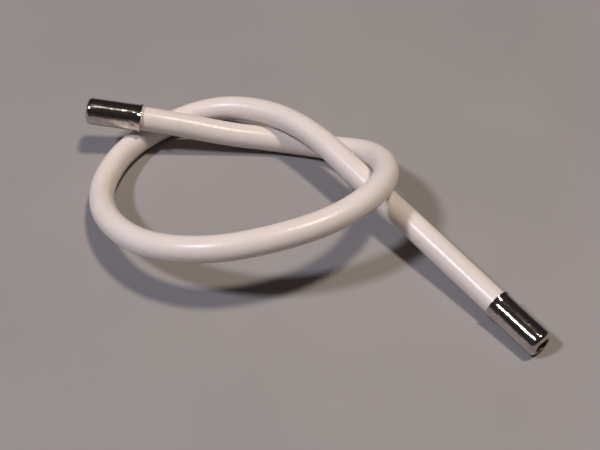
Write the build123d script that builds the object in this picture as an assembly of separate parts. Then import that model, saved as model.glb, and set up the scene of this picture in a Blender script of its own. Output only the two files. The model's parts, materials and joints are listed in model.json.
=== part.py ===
from build123d import *
import os
from math import radians, tan

os.makedirs("parts", exist_ok=True)

# Ignition lead: a silicone insulated high-tension cable tied in one loose overhand knot,
# with a drawn metal socket terminal on each end. Millimetres, +Z up. The origin is under
# the middle of the knotted lead, on the surface that it lies on. X runs along the lead's
# longest side. End A is the raised one, end B the one whose nose rests on the surface.

# ---- cable: diameters of its layers, from the outside in -------------------------------
JACKET_D = 7.0            # outer silicone jacket
BRAID_D = 4.6             # glass-fibre braid under the jacket
INSULATION_D = 4.0        # silicone insulation under the braid
CORE_D = 1.6              # stranded tinned copper conductor

# ---- cap: the drawn shell that is crimped on the jacket --------------------------------
CAP_WALL = 0.35
CAP_GRIP = 9.4            # how far the cap reaches back over the jacket
CAP_NOSE = 6.3            # from the cut end of the jacket to the nose face
CAP_FLARE = 4.6           # length of the flared mouth
FLARE_GAP = 0.35          # radial gap between jacket and cap at the very mouth
NOSE_RADIUS = 1.3         # outside radius of the nose shoulder
NOSE_LAND = 0.15          # least flat of the nose between shoulder and hole
LIP_RADIUS = 0.12         # rounding of the cut edge at the mouth

# ---- contact parts inside the cap ------------------------------------------------------
SOCKET_BORE_D = 4.0       # takes the 4 mm pin of an electrode
SLEEVE_WALL = 0.35
SOCKET_DEPTH = 4.5        # free depth of the socket, from its lip to its floor
RIM_HEIGHT = 0.1          # low rim that rivets the sleeve into the nose hole
RIM_WIDTH = 0.15
RIM_ROUND = 0.06
WINDOW_COUNT = 4          # slots that make the sleeve springy
WINDOW_WIDTH = 0.6
WINDOW_LENGTH = 2.6
RING_WALL = 0.4           # open spring ring around the windows
RING_WIDTH = 0.9
RING_GAP_ANGLE = 50
BARREL_WALL = 0.4         # crimp barrel on the bared conductor
PLATE_THICKNESS = 0.5     # contact plate on the cut end of the cable
PLATE_GAP = 0.1           # radial gap between contact plate and cap

# ---- the cable's centre line, from the cut end A to the cut end B ----------------------
ARC_SHARE = 0.45          # share of the shorter run that each arc takes
ROUTE = [
    (-55.2, 32.6, 12.7), (-38.7, 31.8, 10.2), (-22.2, 31.8, 5.5), (-6.7, 31.3, 3.5),
    (9.3, 27.8, 3.5), (20.3, 18.8, 10.5), (23.8, 5.8, 17.0), (19.8, -7.7, 22.0),
    (8.8, -17.7, 22.5), (-6.7, -24.0, 22.0), (-23.7, -25.7, 19.5), (-40.7, -19.2, 14.5),
    (-52.2, -5.7, 9.5), (-56.2, 10.3, 5.0), (-51.7, 26.8, 3.5), (-40.7, 37.8, 3.5),
    (-25.2, 42.3, 6.8), (-10.0, 37.1, 10.0), (3.3, 25.8, 12.0), (15.8, 9.8, 10.5),
    (29.3, -6.2, 8.5), (43.3, -22.7, 5.7), (55.6, -37.9, 4.25),
]

# ---- sizes that follow from the ones above ---------------------------------------------
JACKET_R = JACKET_D / 2
CAP_BORE_R = JACKET_R
CAP_R = CAP_BORE_R + CAP_WALL
MOUTH_BORE_R = CAP_BORE_R + FLARE_GAP
SLEEVE_BORE_R = SOCKET_BORE_D / 2
SLEEVE_R = SLEEVE_BORE_R + SLEEVE_WALL
SLEEVE_TIP = CAP_NOSE + RIM_HEIGHT
SOCKET_FLOOR = SLEEVE_TIP - SOCKET_DEPTH
WINDOW_MIDDLE = (SOCKET_FLOOR + CAP_NOSE - CAP_WALL) / 2
BARREL_R = CORE_D / 2 + BARREL_WALL
SHOULDER_R = min(NOSE_RADIUS, CAP_R - SLEEVE_R - NOSE_LAND)


def route_radii(points):
    """Radius of the arc at each inner point: as large as its two runs allow."""
    radii = []
    for before, corner, after in zip(points, points[1:], points[2:]):
        run_in = Vector(corner) - Vector(before)
        run_out = Vector(after) - Vector(corner)
        half_turn = radians(run_in.get_angle(run_out)) / 2
        radii.append(ARC_SHARE * min(run_in.length, run_out.length) / tan(half_turn))
    return radii


def layer(outer_d, inner_d=0):
    """One layer of the cable: a round or ring section swept along the whole route."""
    section = Circle(outer_d / 2)
    if inner_d:
        section -= Circle(inner_d / 2)
    start = Plane(origin=cable_line @ 0, z_dir=cable_line % 0)
    return sweep(start * section, path=cable_line)


def tube(outer_r, inner_r, z_low, z_high):
    """A plain tube on the terminal's axis."""
    ring = Circle(outer_r) - Circle(inner_r)
    return Pos(0, 0, z_low) * extrude(ring, z_high - z_low)


# Each terminal is modelled on the Z axis: z = 0 is the cut end of the jacket and +Z
# points out of the nose. It is then carried to the end of the cable.


def make_cap():
    """Drawn cup with a flared mouth, a straight grip, a round shoulder and a nose hole."""
    mouth = -CAP_GRIP
    grip = mouth + CAP_FLARE
    inner_nose = CAP_NOSE - CAP_WALL
    inner_radius = SHOULDER_R - CAP_WALL
    with BuildSketch(Plane.XZ) as profile:
        with BuildLine():
            outer = Polyline((MOUTH_BORE_R + CAP_WALL, mouth), (CAP_R, grip),
                             (CAP_R, CAP_NOSE - SHOULDER_R))
            shoulder = RadiusArc(outer @ 1, (CAP_R - SHOULDER_R, CAP_NOSE), -SHOULDER_R)
            face = Polyline(shoulder @ 1, (SLEEVE_R, CAP_NOSE), (SLEEVE_R, inner_nose),
                            (CAP_BORE_R - inner_radius, inner_nose))
            inside = RadiusArc(face @ 1, (CAP_BORE_R, inner_nose - inner_radius), inner_radius)
            Polyline(inside @ 1, (CAP_BORE_R, grip), (MOUTH_BORE_R, mouth), outer @ 0)
        make_face()
        lip = profile.vertices().group_by(Axis.Z)[0]
        fillet(lip, LIP_RADIUS)
    return revolve(profile.sketch, Axis.Z)


def make_sleeve():
    """Socket sleeve: it grips the crimp barrel behind and takes the pin in front."""
    body = tube(SLEEVE_R, SLEEVE_BORE_R, SOCKET_FLOOR, SLEEVE_TIP)
    body += tube(SLEEVE_R, BARREL_R, PLATE_THICKNESS, SOCKET_FLOOR)
    rim = tube(SLEEVE_R + RIM_WIDTH, SLEEVE_R, CAP_NOSE, SLEEVE_TIP)
    rim_edge = rim.edges().group_by(Axis.Z)[-1].sort_by(SortBy.RADIUS)[-1]
    body += fillet(rim_edge, RIM_ROUND)
    cut = Box(SLEEVE_R, WINDOW_WIDTH, WINDOW_LENGTH, align=(Align.MIN, Align.CENTER, Align.CENTER))
    window = Pos(SLEEVE_BORE_R / 2, 0, WINDOW_MIDDLE) * cut
    for place in PolarLocations(0, WINDOW_COUNT):
        body -= place * window
    return body


def make_ring():
    """Open spring ring that closes the windowed part of the sleeve on the pin."""
    low = WINDOW_MIDDLE - RING_WIDTH / 2
    ring = tube(SLEEVE_R + RING_WALL, SLEEVE_R, low, low + RING_WIDTH)
    reach = 2 * SLEEVE_R
    side = reach * tan(radians(RING_GAP_ANGLE / 2))
    wedge = make_face(Polyline((0, 0), (reach, -side), (reach, side), close=True))
    return ring - Pos(0, 0, low) * extrude(wedge, RING_WIDTH)


def make_barrel():
    """Contact plate against the cut end of the cable, with the crimp barrel on the core."""
    plate = tube(CAP_BORE_R - PLATE_GAP, CORE_D / 2, 0, PLATE_THICKNESS)
    return plate + tube(BARREL_R, CORE_D / 2, PLATE_THICKNESS, SOCKET_FLOOR)


def make_core_end():
    """Bared end of the conductor, through the plate and flush with the barrel."""
    return extrude(Circle(CORE_D / 2), SOCKET_FLOOR)


# ---- cable -----------------------------------------------------------------------------
radii = route_radii(ROUTE)
cable_line = FilletPolyline(*ROUTE, radius=radii)
print("bend radii, mm:", [round(radius, 1) for radius in radii])
print("cable length between its cut ends, mm:", round(cable_line.length, 1))

end_a = Plane(origin=ROUTE[0], z_dir=Vector(ROUTE[0]) - Vector(ROUTE[1]))
end_b = Plane(origin=ROUTE[-1], z_dir=Vector(ROUTE[-1]) - Vector(ROUTE[-2]))

parts = {
    "jacket": layer(JACKET_D, BRAID_D),
    "glass_braid": layer(BRAID_D, INSULATION_D),
    "core_insulation": layer(INSULATION_D, CORE_D),
    "conductor": layer(CORE_D) + end_a.location * make_core_end() + end_b.location * make_core_end(),
}

# ---- terminals -------------------------------------------------------------------------
for letter, end in (("a", end_a), ("b", end_b)):
    parts[f"terminal_cap_{letter}"] = end.location * make_cap()
    parts[f"contact_sleeve_{letter}"] = end.location * make_sleeve()
    parts[f"spring_ring_{letter}"] = end.location * make_ring()
    parts[f"core_barrel_{letter}"] = end.location * make_barrel()

for name, solid in parts.items():
    solid.label = name
    export_step(solid, f"parts/{name}.step")
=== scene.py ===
import json
import math

import bpy
import numpy as np
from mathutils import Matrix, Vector

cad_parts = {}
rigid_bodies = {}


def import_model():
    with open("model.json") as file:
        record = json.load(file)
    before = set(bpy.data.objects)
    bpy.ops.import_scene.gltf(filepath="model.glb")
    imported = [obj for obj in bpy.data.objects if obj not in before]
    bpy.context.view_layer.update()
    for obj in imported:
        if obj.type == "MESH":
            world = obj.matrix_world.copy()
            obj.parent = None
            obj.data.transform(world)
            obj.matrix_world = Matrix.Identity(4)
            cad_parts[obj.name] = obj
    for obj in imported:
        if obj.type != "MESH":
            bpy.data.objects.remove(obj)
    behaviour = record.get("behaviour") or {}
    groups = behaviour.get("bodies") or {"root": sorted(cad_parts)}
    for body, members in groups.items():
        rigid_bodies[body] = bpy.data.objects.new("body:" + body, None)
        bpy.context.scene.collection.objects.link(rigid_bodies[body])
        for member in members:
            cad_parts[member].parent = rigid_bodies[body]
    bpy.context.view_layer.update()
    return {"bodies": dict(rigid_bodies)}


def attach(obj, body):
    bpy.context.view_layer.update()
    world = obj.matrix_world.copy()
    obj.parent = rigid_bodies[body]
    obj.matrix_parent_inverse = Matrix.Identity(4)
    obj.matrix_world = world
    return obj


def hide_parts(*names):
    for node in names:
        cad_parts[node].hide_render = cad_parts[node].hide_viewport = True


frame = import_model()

BODY = next(iter(frame["bodies"]))
MM = 0.001                   # shapes are worked out in millimetres and stored in metres
SEED = 31
CREASE = 35.0                # degrees between two faces, from which their edge is sharp

# ---- camera ------------------------------------------------------------------------------
# It stands close in front of the lead and looks down on it.
CAMERA_PLACE = (-0.0002, -0.1947, 0.2167)
CAMERA_DOWN = 47.95          # degrees below the horizon
CAMERA_LENS = 63.2           # on a sensor 36 mm wide

camera_data = bpy.data.cameras.new("camera")
camera_data.lens = CAMERA_LENS
camera_data.sensor_width = 36.0
camera_data.clip_start = 0.01
camera = bpy.data.objects.new("camera", camera_data)
camera.location = CAMERA_PLACE
camera.rotation_euler = (math.radians(90.0 - CAMERA_DOWN), 0.0, 0.0)
bpy.context.scene.collection.objects.link(camera)
bpy.context.scene.camera = camera
bpy.context.scene.view_settings.view_transform = "Standard"   # true contrast and true whites

# ---- sizes of the cable and its terminals, in millimetres --------------------------------
JACKET_R = 3.5
BRAID_R = 2.3
INSULATION_R = 2.0
CORE_R = 0.8

# The cable's route from the cut end A to the cut end B, as the part's source gives it.
ROUTE = [
    (-55.2, 32.6, 12.7), (-38.7, 31.8, 10.2), (-22.2, 31.8, 5.5), (-6.7, 31.3, 3.5),
    (9.3, 27.8, 3.5), (20.3, 18.8, 10.5), (23.8, 5.8, 17.0), (19.8, -7.7, 22.0),
    (8.8, -17.7, 22.5), (-6.7, -24.0, 22.0), (-23.7, -25.7, 19.5), (-40.7, -19.2, 14.5),
    (-52.2, -5.7, 9.5), (-56.2, 10.3, 5.0), (-51.7, 26.8, 3.5), (-40.7, 37.8, 3.5),
    (-25.2, 42.3, 6.8), (-10.0, 37.1, 10.0), (3.3, 25.8, 12.0), (15.8, 9.8, 10.5),
    (29.3, -6.2, 8.5), (43.3, -22.7, 5.7), (55.6, -37.9, 4.25),
]

# Heights on a terminal's axis: 0 is the cable's cut end, and the nose points to plus.
MOUTH = -9.4
GRIP = -4.8                  # where the flared mouth starts
NOSE = 6.3
RIM_TOP = 6.4
SOCKET_FLOOR = 1.9
CAP_WALL = 0.35
CAP_R = JACKET_R + CAP_WALL
SHOULDER_R = 1.3
SLEEVE_R = 2.35
SOCKET_R = 2.0
BARREL_R = 1.2
RIM_R = 2.5
PLATE_TOP = 0.5
PLATE_R = 3.4
WINDOW_MIDDLE = 3.925
WINDOW_LENGTH = 2.6
WINDOW_WIDTH = 0.6
RING_R = 2.75
RING_WIDTH = 0.9
RING_GAP = 50.0              # degrees


def spline_points():
    """Points of the route's smooth line: a NURBS spline of order 3 whose control points are
    the route's own points, read back from a Blender curve without a bevel."""
    data = bpy.data.curves.new("route", "CURVE")
    data.dimensions = "3D"
    data.resolution_u = 40
    spline = data.splines.new("NURBS")
    spline.points.add(len(ROUTE) - 1)
    for point, place in zip(spline.points, ROUTE):
        point.co = (place[0] * MM, place[1] * MM, place[2] * MM, 1.0)
    spline.order_u = 3
    spline.use_endpoint_u = True
    holder = bpy.data.objects.new("route", data)
    line = bpy.data.meshes.new_from_object(holder)
    points = np.empty(len(line.vertices) * 3)
    line.vertices.foreach_get("co", points)
    bpy.data.objects.remove(holder)
    bpy.data.meshes.remove(line)
    return points.reshape(-1, 3) / MM


SPLINE = spline_points()


def cable_path(step, past_ends=0.0):
    """The cable's line at a fixed step, with its distances and two normals at each point.
    Distance 0 is the cut end A. The normals turn as little as possible from one point to
    the next, so that nothing twists about the cable. past_ends carries the line straight
    on at both ends."""
    gaps = np.linalg.norm(np.diff(SPLINE, axis=0), axis=1)
    along = np.concatenate([[0.0], np.cumsum(gaps)])
    wanted = np.linspace(0.0, along[-1], int(round(along[-1] / step)) + 1)
    points = np.stack([np.interp(wanted, along, SPLINE[:, k]) for k in range(3)], 1)
    if past_ends:
        more = np.linspace(past_ends, 0.0, max(2, int(past_ends / step) + 1), endpoint=False)
        before = points[0] + (points[0] - points[1]) / step * more[:, None]
        after = points[-1] + (points[-1] - points[-2]) / step * more[::-1, None]
        points = np.concatenate([before, points, after])
        wanted = np.concatenate([-more, wanted, along[-1] + more[::-1]])
    tangent = np.gradient(points, wanted, axis=0)
    tangent /= np.linalg.norm(tangent, axis=1)[:, None]
    side = np.empty_like(tangent)
    side[0] = np.cross(tangent[0], (0.0, 0.0, 1.0))
    side[0] /= np.linalg.norm(side[0])
    for i in range(1, len(points)):
        side[i] = side[i - 1] - tangent[i] * (side[i - 1] @ tangent[i])
        side[i] /= np.linalg.norm(side[i])
    return points, wanted, side, np.cross(tangent, side), tangent


def terminal_frame(end):
    """Cut end of the cable, the direction out of the nose, and two directions across it."""
    first, second = (0, 1) if end == "a" else (-1, -2)
    origin = np.array(ROUTE[first])
    axis = origin - np.array(ROUTE[second])
    axis /= np.linalg.norm(axis)
    across = np.cross((0.0, 0.0, 1.0), axis)
    across /= np.linalg.norm(across)
    return origin, axis, across, np.cross(axis, across)


# ---- mesh making -------------------------------------------------------------------------

def add_piece(name, points, faces, local, axis=None):
    """A mesh piece at the origin. points are in millimetres; local are each point's own
    straightened coordinates, kept as the attribute "straight" for the materials, and axis
    is the direction of a turned piece, kept as "along"."""
    mesh = bpy.data.meshes.new(name)
    mesh.from_pydata((points * MM).tolist(), [], faces)
    mesh.polygons.foreach_set("use_smooth", np.ones(len(mesh.polygons), bool))
    mesh.set_sharp_from_angle(angle=math.radians(CREASE))
    layer = mesh.attributes.new("straight", "FLOAT_VECTOR", "POINT")
    layer.data.foreach_set("vector", (local * MM).astype(np.float32).ravel())
    if axis is not None:
        layer = mesh.attributes.new("along", "FLOAT_VECTOR", "POINT")
        layer.data.foreach_set("vector", np.tile(axis, len(points)).astype(np.float32))
    mesh.update()
    piece = bpy.data.objects.new(name, mesh)
    bpy.context.scene.collection.objects.link(piece)
    return piece


def grid_faces(rows, columns, close_rows=False, first=0):
    """Quads of a grid of points, numbered row by row, whose columns close on themselves.
    Where rows run along an axis and columns turn counterclockwise about it, they face out."""
    cells = rows if close_rows else rows - 1
    i, j = np.meshgrid(np.arange(cells), np.arange(columns), indexing="ij")
    k, n = (i + 1) % rows, (j + 1) % columns
    quads = np.stack([i * columns + j, i * columns + n, k * columns + n, k * columns + j], -1)
    return quads.reshape(-1, 4) + first


def circle(count):
    """Angles of the points of a circle, the last one left out because it closes."""
    return np.linspace(0.0, 2 * np.pi, count, endpoint=False)


def cell_angles(count):
    """Angles of the middles of a circle's cells, half a step past its points."""
    return circle(count) + np.pi / count


def tube_along(name, step, columns, outer, inner):
    """A closed tube along the cable: the circle outer(distance, angle) carried along the
    line, the circle inner carried back inside it, and a flat ring at each cut end."""
    points, dist, side, up, _ = cable_path(step)
    angle = circle(columns)
    spoke = side[:, None] * np.cos(angle)[:, None] + up[:, None] * np.sin(angle)[:, None]
    skin = np.broadcast_to(outer(dist[:, None], angle[None, :]), (len(dist), columns))
    bore = np.full_like(skin, inner)
    radius = np.concatenate([skin, bore[::-1]])
    order = np.concatenate([np.arange(len(dist)), np.arange(len(dist))[::-1]])
    place = points[order][:, None] + spoke[order] * radius[..., None]
    local = np.stack([radius * np.cos(angle), radius * np.sin(angle),
                      np.broadcast_to(dist[order][:, None], radius.shape)], -1)
    faces = grid_faces(2 * len(dist), columns, close_rows=True)
    return add_piece(name, place.reshape(-1, 3), faces.tolist(), local.reshape(-1, 3))


OUTER_WIRES_LAG = 0.2        # radians that the outer wires sit off the ones under them


def strands_along(name, step, columns, thickness, lay):
    """Round wires laid together in rings of one, six and twelve: each wire is a circle
    whose centre turns about the cable's line once in every lay. Its ends are flat."""
    points, dist, side, up, _ = cable_path(step, past_ends=SOCKET_FLOOR)
    ring = np.array([0] + [1] * 6 + [2] * 12)
    turn = np.concatenate([[0.0], circle(6), circle(12) + OUTER_WIRES_LAG])
    phase = turn[:, None] + 2 * np.pi * dist[None, :] / lay
    x = ring[:, None] * thickness * np.cos(phase)
    y = ring[:, None] * thickness * np.sin(phase)
    angle = circle(columns)
    x = x[..., None] + thickness / 2 * np.cos(angle)
    y = y[..., None] + thickness / 2 * np.sin(angle)
    place = points[None, :, None] + side[None, :, None] * x[..., None]
    place = place + up[None, :, None] * y[..., None]
    local = np.stack([x, y, np.broadcast_to(dist[None, :, None], x.shape)], -1)
    rows = len(dist)
    faces = []
    for wire in range(len(ring)):
        first = wire * rows * columns
        last = first + (rows - 1) * columns
        faces += grid_faces(rows, columns, first=first).tolist()
        faces += [list(range(first, first + columns))[::-1], list(range(last, last + columns))]
    return add_piece(name, place.reshape(-1, 3), faces, local.reshape(-1, 3))


def turned(name, end, columns, profile, relief=None):
    """A closed profile of (radius, height) points turned about a terminal's axis. relief
    (angle, radius, height) is added to the radius."""
    origin, axis, across, above = terminal_frame(end)
    angle = circle(columns)
    radius = np.repeat(profile[:, :1], columns, 1)
    height = np.repeat(profile[:, 1:], columns, 1)
    if relief is not None:
        radius = radius + relief(angle[None, :], radius, height)
    spoke = across * np.cos(angle)[:, None] + above * np.sin(angle)[:, None]
    place = origin + spoke * radius[..., None] + axis * height[..., None]
    local = np.stack([radius * np.cos(angle), radius * np.sin(angle), height], -1)
    faces = grid_faces(len(profile), columns, close_rows=True)
    return add_piece(name, place.reshape(-1, 3), faces.tolist(), local.reshape(-1, 3), axis)


def turned_with_gaps(name, end, columns, skin, bore, solid):
    """A wall between two profiles of equal length, turned about a terminal's axis, with
    parts of it cut away. solid[row, column] says which cells of the wall are there; where
    one that is meets one that isn't, a small face closes the wall from skin to bore."""
    origin, axis, across, above = terminal_frame(end)
    angle = circle(columns)
    spoke = across * np.cos(angle)[:, None] + above * np.sin(angle)[:, None]
    both = np.stack([skin, bore])
    place = origin + spoke * both[:, :, None, :1] + axis * both[:, :, None, 1:]
    local = np.stack([both[..., :1] * np.cos(angle), both[..., :1] * np.sin(angle),
                      np.broadcast_to(both[..., 1:], (2, len(skin), columns))], -1)
    rows = len(skin)
    number = np.arange(2 * rows * columns).reshape(2, rows, columns)
    near, far = number[0], number[1]
    turn = np.roll(np.arange(columns), -1)
    i, j = np.nonzero(solid)
    k, n = i + 1, turn[j]
    faces = [np.stack([near[i, j], near[i, n], near[k, n], near[k, j]], 1),
             np.stack([far[i, j], far[k, j], far[k, n], far[i, n]], 1)]
    walled = np.pad(solid, ((1, 1), (0, 0)))
    up_open, down_open = ~walled[2:], ~walled[:-2]
    right_open, left_open = ~np.roll(solid, -1, 1), ~np.roll(solid, 1, 1)
    for is_open, a, b in (
        (down_open, (0, 0), (0, 1)), (right_open, (0, 1), (1, 1)),
        (up_open, (1, 1), (1, 0)), (left_open, (1, 0), (0, 0)),
    ):
        i, j = np.nonzero(solid & is_open)
        ends = [(i + di, turn[j] if dj else j) for di, dj in (a, b)]
        faces.append(np.stack([near[ends[1]], near[ends[0]], far[ends[0]], far[ends[1]]], 1))
    faces = np.concatenate(faces)
    used, faces = np.unique(faces, return_inverse=True)
    faces = faces.reshape(-1, 4)
    return add_piece(name, place.reshape(-1, 3)[used], faces.tolist(),
                     local.reshape(-1, 3)[used])


def arc(centre, radius, start, stop, count):
    """Points of an arc in the plane of (radius, height), angles in degrees."""
    t = np.radians(np.linspace(start, stop, count))
    return np.stack([centre[0] + radius * np.cos(t), centre[1] + radius * np.sin(t)], 1)


def run(start, stop, count):
    """Points inside a straight stretch, without its two ends."""
    t = np.linspace(0.0, 1.0, count + 2)[1:-1, None]
    return np.asarray(start) * (1 - t) + np.asarray(stop) * t


def ease(value):
    """0 below 0, 1 above 1, and a smooth step between."""
    value = np.clip(value, 0.0, 1.0)
    return value * value * (3 - 2 * value)


# ---- cable -------------------------------------------------------------------------------

FLATTENING = 55.0            # mm of give times mm squared: 0.08 mm at the tightest bend
BEND_STEP = 1.0              # mm between the places where the bend is measured
BEND_WINDOW = 13             # number of those places over which it is evened out
UNEVENNESS = (               # half height and length in mm, turns round the cable, start
    (0.008, 61.0, 0, 0.4), (0.007, 23.0, 2, 1.9), (0.004, 9.5, 1, 4.1),
)
BRAID_YARNS = 6              # in each of the two sets
BRAID_PITCH = 16.0           # mm of cable for one turn of a yarn
BRAID_DEPTH = 0.09           # mm from the top of a yarn to the valley beside it
BRAID_FLATNESS = 0.6         # below 1 a yarn is flat on top


def bend_shape(dist, angle):
    """Outer radius of the jacket. It gives way where the cable is bent, by the square of
    the bend in the bend's own plane, and it is never quite even along its length."""
    _, at, side, up, tangent = cable_path(BEND_STEP)
    bend = np.gradient(tangent, at, axis=0)
    window = np.hanning(BEND_WINDOW) / np.hanning(BEND_WINDOW).sum()
    bend = np.stack([np.convolve(bend[:, k], window, mode="same") for k in range(3)], 1)
    x = np.interp(dist, at, (bend * side).sum(1))
    y = np.interp(dist, at, (bend * up).sum(1))
    inwards = x * np.cos(angle) + y * np.sin(angle)      # 1/mm, largest in the bend's plane
    flattened = FLATTENING * inwards ** 2
    uneven = sum(size * (1 + np.sin(2 * np.pi * dist / length + turns * angle + shift))
                 for size, length, turns, shift in UNEVENNESS)
    return JACKET_R - flattened - uneven


def braid_shape(dist, angle):
    """Outer radius of the glass braid: two sets of flat yarns wound against each other.
    A yarn's height is a rounded ridge, and the sets take turns to be on top."""
    one = BRAID_YARNS * angle + 2 * np.pi * dist / BRAID_PITCH * BRAID_YARNS
    two = BRAID_YARNS * angle - 2 * np.pi * dist / BRAID_PITCH * BRAID_YARNS
    above = np.sin((one + two) / 2) * np.sin((one - two) / 2)
    ridge = np.where(above > 0, np.abs(np.cos(one / 2)), np.abs(np.cos(two / 2)))
    return BRAID_R - BRAID_DEPTH * (1 - ridge ** BRAID_FLATNESS)


def even_shape(dist, angle):
    """Outer radius of the core insulation, the same all over."""
    return np.full((1, 1), INSULATION_R)


jacket = tube_along("silicone_jacket", step=0.5, columns=48, outer=bend_shape, inner=BRAID_R)
braid = tube_along("glass_fibre_braid", step=0.5, columns=48, outer=braid_shape,
                   inner=INSULATION_R)
insulation = tube_along("core_insulation_tube", step=0.8, columns=32, outer=even_shape,
                        inner=CORE_R)
strands = strands_along("conductor_strands", step=1.2, columns=8, thickness=0.32, lay=22.0)

# ---- terminals ---------------------------------------------------------------------------
rng = np.random.default_rng(SEED)

LIP_R = 0.15                 # the mouth's edge is rolled over to this radius
LIP_TURN = 24.0              # degrees that the bell leans out where the lip starts
OPENING = 0.03               # mm that the shell opens between the grip and the bell
BELL_START = -7.7
BELL_END = MOUTH + LIP_R + LIP_R * math.sin(math.radians(LIP_TURN))
BELL_RISE = math.tan(math.radians(LIP_TURN)) * (BELL_START - BELL_END) / 2
DENTS = 70                   # on each cap
DENTS_FROM, DENTS_TO = -8.2, 4.9      # heights between which they lie
RIPPLE_HEIGHT = 0.0016       # mm, from which each ripple's own height is drawn
RIPPLES_ROUND = (9, 14, 23, 31, 47)   # how many of each kind go round the cap
ROUND_ABOUT = 6.28           # radians, any place round the cap
SHOULDER_FADE = (0.6, 0.8)   # mm below the nose where the relief is gone, mm of its fade
LIP_FADE = (0.1, 0.5)        # mm above the mouth where it is gone, mm of its fade


def cap_radius(height):
    """Outside radius of the drawn shell below its shoulder: straight, then opening with a
    smooth step, and in the last stretch before the lip a bell, by the square of the height."""
    opening = OPENING * ease((GRIP - height) / (GRIP - BELL_START))
    bell = np.clip((BELL_START - height) / (BELL_START - BELL_END), 0, None) ** 2
    return CAP_R + opening + BELL_RISE * bell


def cap_profile():
    """The shell's section, from the bell over the outside to the nose hole, back along the
    inside, one wall thickness further in, and round the lip. Each stretch's last number is
    how many points it has."""
    centre = (CAP_R - SHOULDER_R, NOSE - SHOULDER_R)
    rise = np.concatenate([np.linspace(BELL_END, BELL_START, 20)[:-1],
                           np.linspace(BELL_START, NOSE - SHOULDER_R, 60)])
    outside = np.stack([cap_radius(rise), rise], 1)
    shoulder = arc(centre, SHOULDER_R, 0, 90, 18)[1:]
    edge = np.array([[SLEEVE_R, NOSE], [SLEEVE_R, NOSE - CAP_WALL]])
    inner = arc(centre, SHOULDER_R - CAP_WALL, 90, 0, 12)
    inside = np.stack([cap_radius(rise) - CAP_WALL, rise], 1)[::-1][1:]
    lip_centre = (cap_radius(BELL_END) - LIP_R * math.cos(math.radians(LIP_TURN)),
                  MOUTH + LIP_R)
    lip = arc(lip_centre, LIP_R, -90, LIP_TURN, 16)[:-1]
    return np.concatenate([outside, shoulder, edge, inner, inside, lip])


def cap_relief(dents, ripples):
    """What drawing, plating and handling leave on the shell: shallow ripples that run
    lengthwise, and small round dents, each one a bell curve in angle and height. Both fade
    out before the shoulder and the lip."""
    def relief(angle, radius, height):
        change = sum(size * np.sin(turns * angle + shift + lean * height)
                     for size, turns, shift, lean in ripples)
        on_body = (ease((NOSE - SHOULDER_FADE[0] - height) / SHOULDER_FADE[1])
                   * ease((height - MOUTH - LIP_FADE[0]) / LIP_FADE[1]))
        for depth, at, up, width in dents:
            around = (np.mod(angle - at + np.pi, 2 * np.pi) - np.pi) * CAP_R
            change = change - depth * np.exp(-(around ** 2 + (height - up) ** 2) / width ** 2)
        return change * on_body
    return relief


def draw_ripples():
    """Height in mm, number round the cap, start, and lean along the cap."""
    return [(RIPPLE_HEIGHT * rng.uniform(0.6, 1.4), turns, rng.uniform(0, ROUND_ABOUT),
             rng.uniform(-0.04, 0.04)) for turns in RIPPLES_ROUND]


def small_dents(count):
    """Depth in mm, place round the cap and along it, and width in mm."""
    return [(rng.uniform(0.006, 0.022), rng.uniform(0, ROUND_ABOUT),
             rng.uniform(DENTS_FROM, DENTS_TO), rng.uniform(0.25, 0.5)) for _ in range(count)]


RIM_ROUND = 0.07             # rounding of the rim's outer edge
RIM_FLAT = (2.3, 2.2)        # radii of two points on the rim's flat top
MOUTH_EASE = 0.15            # rounding that leads the pin into the socket


def sleeve_profiles():
    """Outside and inside of the socket sleeve, matched point by point. The front end is
    rolled over the nose hole into a rounded rim, and the mouth is eased for the pin."""
    low, high = WINDOW_MIDDLE - WINDOW_LENGTH / 2, WINDOW_MIDDLE + WINDOW_LENGTH / 2
    behind = np.linspace(PLATE_TOP, SOCKET_FLOOR, 4)[:-1]
    body = np.concatenate([behind, np.linspace(SOCKET_FLOOR, low, 4)[:-1],
                           np.linspace(low, high, 9), np.linspace(high, NOSE, 5)[1:]])
    skin = np.stack([np.full(len(body), SLEEVE_R), body], 1)
    bore = np.stack([np.full(len(body), SOCKET_R), body], 1)
    bore[:len(behind), 0] = BARREL_R
    bore[len(behind) - 1, 1] = SOCKET_FLOOR          # so that the socket's floor is flat
    rim = np.concatenate([
        [[RIM_R, NOSE]], arc((RIM_R - RIM_ROUND, RIM_TOP - RIM_ROUND), RIM_ROUND, 0, 90, 6),
        [[radius, RIM_TOP] for radius in RIM_FLAT],
    ])
    eased = arc((SOCKET_R + MOUTH_EASE, RIM_TOP - MOUTH_EASE), MOUTH_EASE, 180, 100, 6)
    inner = run((SOCKET_R, NOSE), (SOCKET_R, RIM_TOP - MOUTH_EASE), len(rim) - len(eased))
    return np.concatenate([skin, rim]), np.concatenate([bore, inner, eased])


def sleeve(end):
    """Socket sleeve with four windows, which make it springy: a cell is open where it is
    nearer than half a window's width and length to the middle of one."""
    skin, bore = sleeve_profiles()
    columns = 192
    solid = np.ones((len(skin) - 1, columns), bool)
    middle = (skin[1:, 1] + skin[:-1, 1]) / 2
    in_window = np.abs(middle - WINDOW_MIDDLE) < WINDOW_LENGTH / 2
    across = np.mod(cell_angles(columns) + np.pi / 4, np.pi / 2) - np.pi / 4
    across = np.abs(across) * SLEEVE_R
    solid[np.ix_(in_window, across < WINDOW_WIDTH / 2)] = False
    return turned_with_gaps(f"contact_sleeve_piece_{end}", end, columns, skin, bore, solid)


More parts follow.
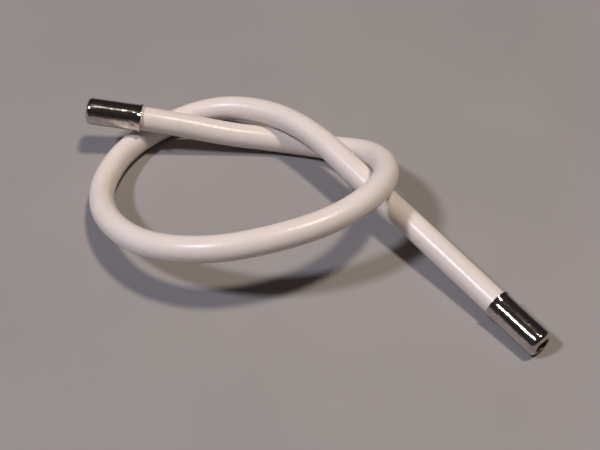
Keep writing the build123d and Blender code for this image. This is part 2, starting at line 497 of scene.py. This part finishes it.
def spring_ring(end):
    """Open ring round the windows, with eased edges, a hair off the sleeve inside."""
    edge, gap = 0.08, 0.005
    low, high = WINDOW_MIDDLE - RING_WIDTH / 2, WINDOW_MIDDLE + RING_WIDTH / 2
    skin = np.array([[SLEEVE_R + edge, low], [RING_R - edge, low], [RING_R, low + edge],
                     [RING_R, high - edge], [RING_R - edge, high], [SLEEVE_R + edge, high]])
    bore = np.stack([np.full(len(skin), SLEEVE_R + gap),
                     np.linspace(low + edge, high - edge, len(skin))], 1)
    columns = 144
    off_opening = np.abs(np.mod(cell_angles(columns) + np.pi, 2 * np.pi) - np.pi)
    solid = np.repeat((off_opening > math.radians(RING_GAP / 2))[None], len(skin) - 1, 0)
    return turned_with_gaps(f"spring_ring_piece_{end}", end, columns, skin, bore, solid)


def barrel(end):
    """Contact plate and crimp barrel in one: the plate's rim is rounded, a slope joins it to
    the barrel, and the barrel's end is eased outside and inside."""
    rounding, slope, eased, lead_in = 0.1, 0.12, 0.06, 0.05
    profile = np.concatenate([
        [[CORE_R, 0.0], [PLATE_R - rounding, 0.0]],
        arc((PLATE_R - rounding, rounding), rounding, -70, 0, 5),
        arc((PLATE_R - rounding, PLATE_TOP - rounding), rounding, 0, 90, 6),
        [[BARREL_R + slope, PLATE_TOP], [BARREL_R, PLATE_TOP + slope]],
        [[BARREL_R, SOCKET_FLOOR - eased], [BARREL_R - eased, SOCKET_FLOOR]],
        [[CORE_R + lead_in, SOCKET_FLOOR], [CORE_R, SOCKET_FLOOR - lead_in]],
    ])
    return turned(f"crimp_barrel_piece_{end}", end, columns=96, profile=profile)


terminals = {}
for end in ("a", "b"):
    relief = cap_relief(small_dents(DENTS), draw_ripples())
    terminals[end] = [
        turned(f"nickel_cap_{end}", end, columns=288, profile=cap_profile(), relief=relief),
        sleeve(end), spring_ring(end), barrel(end),
    ]
    nodes = ("terminal_cap", "contact_sleeve", "spring_ring", "core_barrel")
    for piece, node in zip(terminals[end], nodes):
        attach(piece, BODY)
        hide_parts(f"{node}_{end}")

for piece, node in ((jacket, "jacket"), (braid, "glass_braid"),
                    (insulation, "core_insulation"), (strands, "conductor")):
    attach(piece, BODY)
    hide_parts(node)

# ---- materials ---------------------------------------------------------------------------

def hex_colour(value):
    """sRGB hex to the linear colour that the shader wants."""
    parts = [int(value[k:k + 2], 16) / 255 for k in (1, 3, 5)]
    linear = [c / 12.92 if c <= 0.04045 else ((c + 0.055) / 1.055) ** 2.4 for c in parts]
    return tuple(linear) + (1.0,)


def per_mm(size):
    """Scale of a texture whose features are about that many millimetres across."""
    return 1.0 / (size * MM)


def add_node(tree, kind, values=None, links=None, stops=None, **settings):
    """Adds a node: its settings, its sockets' values, its links as (node, output), and a
    colour ramp's stops as (place, sRGB hex)."""
    node = tree.nodes.new(kind)
    for key, value in settings.items():
        setattr(node, key, value)
    for socket, value in (values or {}).items():
        node.inputs[socket].default_value = value
    for socket, (other, output) in (links or {}).items():
        tree.links.new(other.outputs[output], node.inputs[socket])
    if stops:
        ramp = node.color_ramp.elements
        while len(ramp) < len(stops):
            ramp.new(1.0)
        for element, (place, colour) in zip(ramp, stops):
            element.position = place
            element.color = hex_colour(colour)
    return node


def new_material(name, **constants):
    """An empty material of shader and output. constants are the shader's sockets that are
    the same all over, with _ for the spaces in their names."""
    material = bpy.data.materials.new(name)
    material.use_nodes = True
    tree = material.node_tree
    tree.nodes.clear()
    shader = add_node(tree, "ShaderNodeBsdfPrincipled")
    for socket, value in constants.items():
        shader.inputs[socket.replace("_", " ")].default_value = value
    add_node(tree, "ShaderNodeOutputMaterial", links={"Surface": (shader, "BSDF")})
    return material, tree, shader


def drive(tree, shader, noise, tints, roughness=None):
    """Lets a noise drive the shader. tints are two stops for the colour, and roughness is
    (lowest noise, highest noise, roughness at the lowest, roughness at the highest)."""
    tint = add_node(tree, "ShaderNodeValToRGB", links={"Fac": (noise, "Fac")}, stops=tints)
    tree.links.new(tint.outputs["Color"], shader.inputs["Base Color"])
    if roughness:
        names = ("From Min", "From Max", "To Min", "To Max")
        rough = add_node(tree, "ShaderNodeMapRange", dict(zip(names, roughness)),
                         {"Value": (noise, "Fac")})
        tree.links.new(rough.outputs["Result"], shader.inputs["Roughness"])
    return tint


def white_silicone():
    """Extruded silicone rubber, filled ivory white. It is satin with a soft wide sheen, lets
    a little light in under the skin, keeps fine lines along its length from the die, and
    holds dust and faint handling marks."""
    material, tree, shader = new_material(
        "white_silicone_rubber", IOR=1.44, Subsurface_Weight=0.25,
        Subsurface_Radius=(1.0, 0.72, 0.5), Subsurface_Scale=1.2 * MM, Sheen_Weight=0.05)
    coords = add_node(tree, "ShaderNodeAttribute", attribute_name="straight")
    on_skin = {"Vector": (coords, "Vector")}
    # clouds of slightly yellower and greyer rubber, 14 mm across and 30 mm along; handled
    # patches are a little shinier
    stretched = add_node(tree, "ShaderNodeMapping", {"Scale": (1, 1, 0.45)}, on_skin)
    clouds = add_node(tree, "ShaderNodeTexNoise",
                      {"Scale": per_mm(14), "Detail": 4.0, "Roughness": 0.6},
                      {"Vector": (stretched, "Vector")})
    tint = drive(tree, shader, clouds, [(0.3, "#E5D9D2"), (0.7, "#ECE3DE")],
                 (0.3, 0.7, 0.24, 0.32))
    # die lines, 0.35 mm apart round the cable and drawn out along it
    drawn = add_node(tree, "ShaderNodeMapping", {"Scale": (1, 1, 0.012)}, on_skin)
    lines = add_node(tree, "ShaderNodeTexNoise",
                     {"Scale": per_mm(0.35), "Detail": 3.0, "Roughness": 0.55},
                     {"Vector": (drawn, "Vector")})
    # skin of the rubber, 0.8 mm grain, coarser than the real one so that it shows
    grain = add_node(tree, "ShaderNodeTexNoise",
                     {"Scale": per_mm(0.8), "Detail": 3.0, "Roughness": 0.65}, on_skin)
    # dust: spots up to 0.5 mm across and about 2 mm apart, only where a noise peaks
    specks = add_node(tree, "ShaderNodeTexVoronoi", {"Scale": per_mm(1.9), "Randomness": 1.0},
                      on_skin)
    chance = add_node(tree, "ShaderNodeTexNoise", {"Scale": per_mm(3.1), "Detail": 2.0}, on_skin)
    room = add_node(tree, "ShaderNodeMapRange",
                    {"From Min": 0.52, "From Max": 0.75, "To Min": 0.0, "To Max": 0.14},
                    {"Value": (chance, "Fac")})
    spot = add_node(tree, "ShaderNodeMath", links={0: (specks, "Distance"), 1: (room, "Result")},
                    operation="LESS_THAN")
    faint = add_node(tree, "ShaderNodeMath", {1: 0.35}, {0: (spot, "Value")},
                     operation="MULTIPLY")
    factor, first, second, mixed = 0, 6, 7, 2        # sockets of a colour mix
    dusty = add_node(tree, "ShaderNodeMix", {second: hex_colour("#A89C90")},
                     {factor: (faint, "Value"), first: (tint, "Color")}, data_type="RGBA")
    tree.links.new(dusty.outputs[mixed], shader.inputs["Base Color"])
    bump_lines = add_node(tree, "ShaderNodeBump", {"Strength": 0.35, "Distance": 0.012 * MM},
                          {"Height": (lines, "Fac")})
    bump_grain = add_node(tree, "ShaderNodeBump", {"Strength": 1.0, "Distance": 0.07 * MM},
                          {"Height": (grain, "Fac"), "Normal": (bump_lines, "Normal")})
    bump_dust = add_node(tree, "ShaderNodeBump", {"Strength": 0.5, "Distance": 0.03 * MM},
                         {"Height": (spot, "Value"), "Normal": (bump_grain, "Normal")})
    tree.links.new(bump_dust.outputs["Normal"], shader.inputs["Normal"])
    return material


def nickel_plate():
    """Bright nickel plated on a drawn steel shell that was polished while it turned. It
    mirrors what is round it, with fine rings that spread a light along the shell but not
    round it, a few pits, and a faint uneven haze."""
    material, tree, shader = new_material("bright_nickel_plate", Metallic=1.0, Anisotropic=0.6)
    coords = add_node(tree, "ShaderNodeAttribute", attribute_name="straight")
    on_shell = {"Vector": (coords, "Vector")}
    # haze in clouds 1.6 mm across
    haze = add_node(tree, "ShaderNodeTexNoise",
                    {"Scale": per_mm(1.6), "Detail": 5.0, "Roughness": 0.62}, on_shell)
    drive(tree, shader, haze, [(0.32, "#BDB6B1"), (0.68, "#D3CCC7")], (0.3, 0.75, 0.07, 0.15))
    # rings 0.6 mm apart, broken every 1.7 mm or so; the real ones are about 0.05 mm apart
    round_about = add_node(tree, "ShaderNodeMapping", {"Scale": (0.35, 0.35, 1)}, on_shell)
    rings = add_node(tree, "ShaderNodeTexNoise",
                     {"Scale": per_mm(0.6), "Detail": 3.0, "Roughness": 0.6},
                     {"Vector": (round_about, "Vector")})
    # pits 0.5 mm across, coarser than the real ones so that they show
    pits = add_node(tree, "ShaderNodeTexNoise",
                    {"Scale": per_mm(0.5), "Detail": 2.0, "Roughness": 0.5}, on_shell)
    bump_rings = add_node(tree, "ShaderNodeBump", {"Strength": 1.0, "Distance": 0.08 * MM},
                          {"Height": (rings, "Fac")})
    bump_pits = add_node(tree, "ShaderNodeBump", {"Strength": 0.8, "Distance": 0.02 * MM},
                         {"Height": (pits, "Fac"), "Normal": (bump_rings, "Normal")})
    tree.links.new(bump_pits.outputs["Normal"], shader.inputs["Normal"])
    # the polish spreads light along the shell's own axis
    along = add_node(tree, "ShaderNodeAttribute", attribute_name="along")
    tree.links.new(along.outputs["Vector"], shader.inputs["Tangent"])
    return material


def contact_brass():
    """Spring brass with a thin flash of nickel, worn by the pin: yellow-grey, fine turning
    lines, duller than the cap."""
    material, tree, shader = new_material("nickel_flashed_brass", Metallic=1.0)
    coords = add_node(tree, "ShaderNodeAttribute", attribute_name="straight")
    on_part = {"Vector": (coords, "Vector")}
    # wear in patches 0.9 mm across
    wear = add_node(tree, "ShaderNodeTexNoise",
                    {"Scale": per_mm(0.9), "Detail": 5.0, "Roughness": 0.65}, on_part)
    drive(tree, shader, wear, [(0.35, "#97835F"), (0.6, "#B5A88F")], (0.0, 1.0, 0.2, 0.38))
    # turning lines 0.08 mm apart
    round_about = add_node(tree, "ShaderNodeMapping", {"Scale": (0.1, 0.1, 1)}, on_part)
    turning = add_node(tree, "ShaderNodeTexNoise", {"Scale": per_mm(0.08), "Detail": 2.0},
                       {"Vector": (round_about, "Vector")})
    bump = add_node(tree, "ShaderNodeBump", {"Strength": 0.3, "Distance": 0.004 * MM},
                    {"Height": (turning, "Fac")})
    tree.links.new(bump.outputs["Normal"], shader.inputs["Normal"])
    return material


def mottled(name, size, detail, tints, roughness, **constants):
    """A material whose colour and roughness vary with one noise, size millimetres across."""
    material, tree, shader = new_material(name, **constants)
    coords = add_node(tree, "ShaderNodeAttribute", attribute_name="straight")
    noise = add_node(tree, "ShaderNodeTexNoise", {"Scale": per_mm(size), "Detail": detail},
                     {"Vector": (coords, "Vector")})
    drive(tree, shader, noise, tints, (0.0, 1.0) + roughness)
    return material


def spring_steel():
    """Tempered spring steel strip: dark grey and satin, in faint clouds from the heat."""
    return mottled("tempered_spring_steel", 1.2, 4.0, [(0.35, "#6C6A6B"), (0.65, "#8E8983")],
                   (0.25, 0.45), Metallic=1.0)


def tinned_copper():
    """Copper wire with a thin coat of tin: soft grey-white shine, dull and redder where the
    coat is thin."""
    return mottled("tinned_copper_wire", 0.4, 4.0, [(0.35, "#B59F8C"), (0.55, "#C9C6C0")],
                   (0.25, 0.45), Metallic=1.0)


def glass_fibre():
    """Braided glass yarn: white, with a silky sheen and fine uneven fibres."""
    return mottled("braided_glass_fibre", 0.12, 3.0, [(0.3, "#D9D6CC"), (0.7, "#F2F1EA")],
                   (0.4, 0.65), IOR=1.52, Sheen_Weight=0.3)


def core_silicone():
    """Unfilled silicone under the braid: milky and a little glassy."""
    return mottled("milky_core_silicone", 5, 3.0, [(0.3, "#D8D5CE"), (0.7, "#E6E4DE")],
                   (0.3, 0.45), IOR=1.41, Subsurface_Weight=0.3, Subsurface_Scale=1.0 * MM)


def floor_paint():
    """Pale matt studio floor, with very faint clouds 60 mm across."""
    material, tree, shader = new_material("pale_matt_floor", Roughness=0.6)
    coords = add_node(tree, "ShaderNodeTexCoord")
    clouds = add_node(tree, "ShaderNodeTexNoise", {"Scale": per_mm(60), "Detail": 3.0},
                      {"Vector": (coords, "Object")})
    drive(tree, shader, clouds, [(0.3, "#959191"), (0.7, "#9B9796")])
    return material


rubber, nickel, brass = white_silicone(), nickel_plate(), contact_brass()
steel, copper, fibre, core = spring_steel(), tinned_copper(), glass_fibre(), core_silicone()
finishes = [(jacket, rubber, "white_silicone"), (braid, fibre, "glass_fibre"),
            (insulation, core, "core_silicone"), (strands, copper, "tinned_copper")]
for end in ("a", "b"):
    finishes += zip(terminals[end], (nickel, brass, steel, brass),
                    ("nickel_plate", "contact_brass", "spring_steel", "contact_brass"))
for piece, material, slot in finishes:
    piece.data.materials.append(material)

# ---- the cord's end A and its line, worked out but not kept ------------------------------
origin_a, axis_a, _, _ = terminal_frame("a")
(cable_path(0.5)[0] * MM).tolist()

# ---- studio ------------------------------------------------------------------------------
FLOOR_REACH = 6              # metres from the middle to each side
floor_corners = [(x * FLOOR_REACH, y * FLOOR_REACH, 0)
                 for x, y in ((-1, -1), (1, -1), (1, 1), (-1, 1))]
floor_mesh = bpy.data.meshes.new("floor")
floor_mesh.from_pydata(floor_corners, [], [(0, 1, 2, 3)])
floor = bpy.data.objects.new("floor", floor_mesh)
bpy.context.scene.collection.objects.link(floor)
floor_mesh.materials.append(floor_paint())

# A dim grey room, lightest at the horizon, so that bright metal has something to mirror.
world = bpy.data.worlds.new("studio")
world.use_nodes = True
sky = world.node_tree
from_where = add_node(sky, "ShaderNodeTexCoord")
height = add_node(sky, "ShaderNodeSeparateXYZ", links={"Vector": (from_where, "Generated")})
shade = add_node(sky, "ShaderNodeValToRGB", links={"Fac": (height, "Z")},
                 stops=[(0.0, "#53504F"), (0.35, "#2C292B"), (1.0, "#3A3433")])
sky.links.new(shade.outputs["Color"], sky.nodes["Background"].inputs["Color"])
bpy.context.scene.world = world


LIGHT_DISTANCE = 3.0         # metres from the lead
LIGHT_SIZE = 0.4             # metres across


def soft_light(name, towards, power, colour):
    """A round area light in that direction, shining at the middle of the lead."""
    data = bpy.data.lights.new(name, "AREA")
    data.shape = "DISK"
    data.size = LIGHT_SIZE
    data.energy = power
    data.color = hex_colour(colour)[:3]
    light = bpy.data.objects.new(name, data)
    direction = Vector(towards).normalized()
    light.location = direction * LIGHT_DISTANCE
    light.rotation_euler = direction.to_track_quat("Z", "Y").to_euler()
    bpy.context.scene.collection.objects.link(light)


soft_light("main_light", (0.283, -0.007, 1.0), power=50.0, colour="#FFF0DF")
soft_light("side_light", (-0.693, -0.211, 1.0), power=48.0, colour="#F0F1FF")
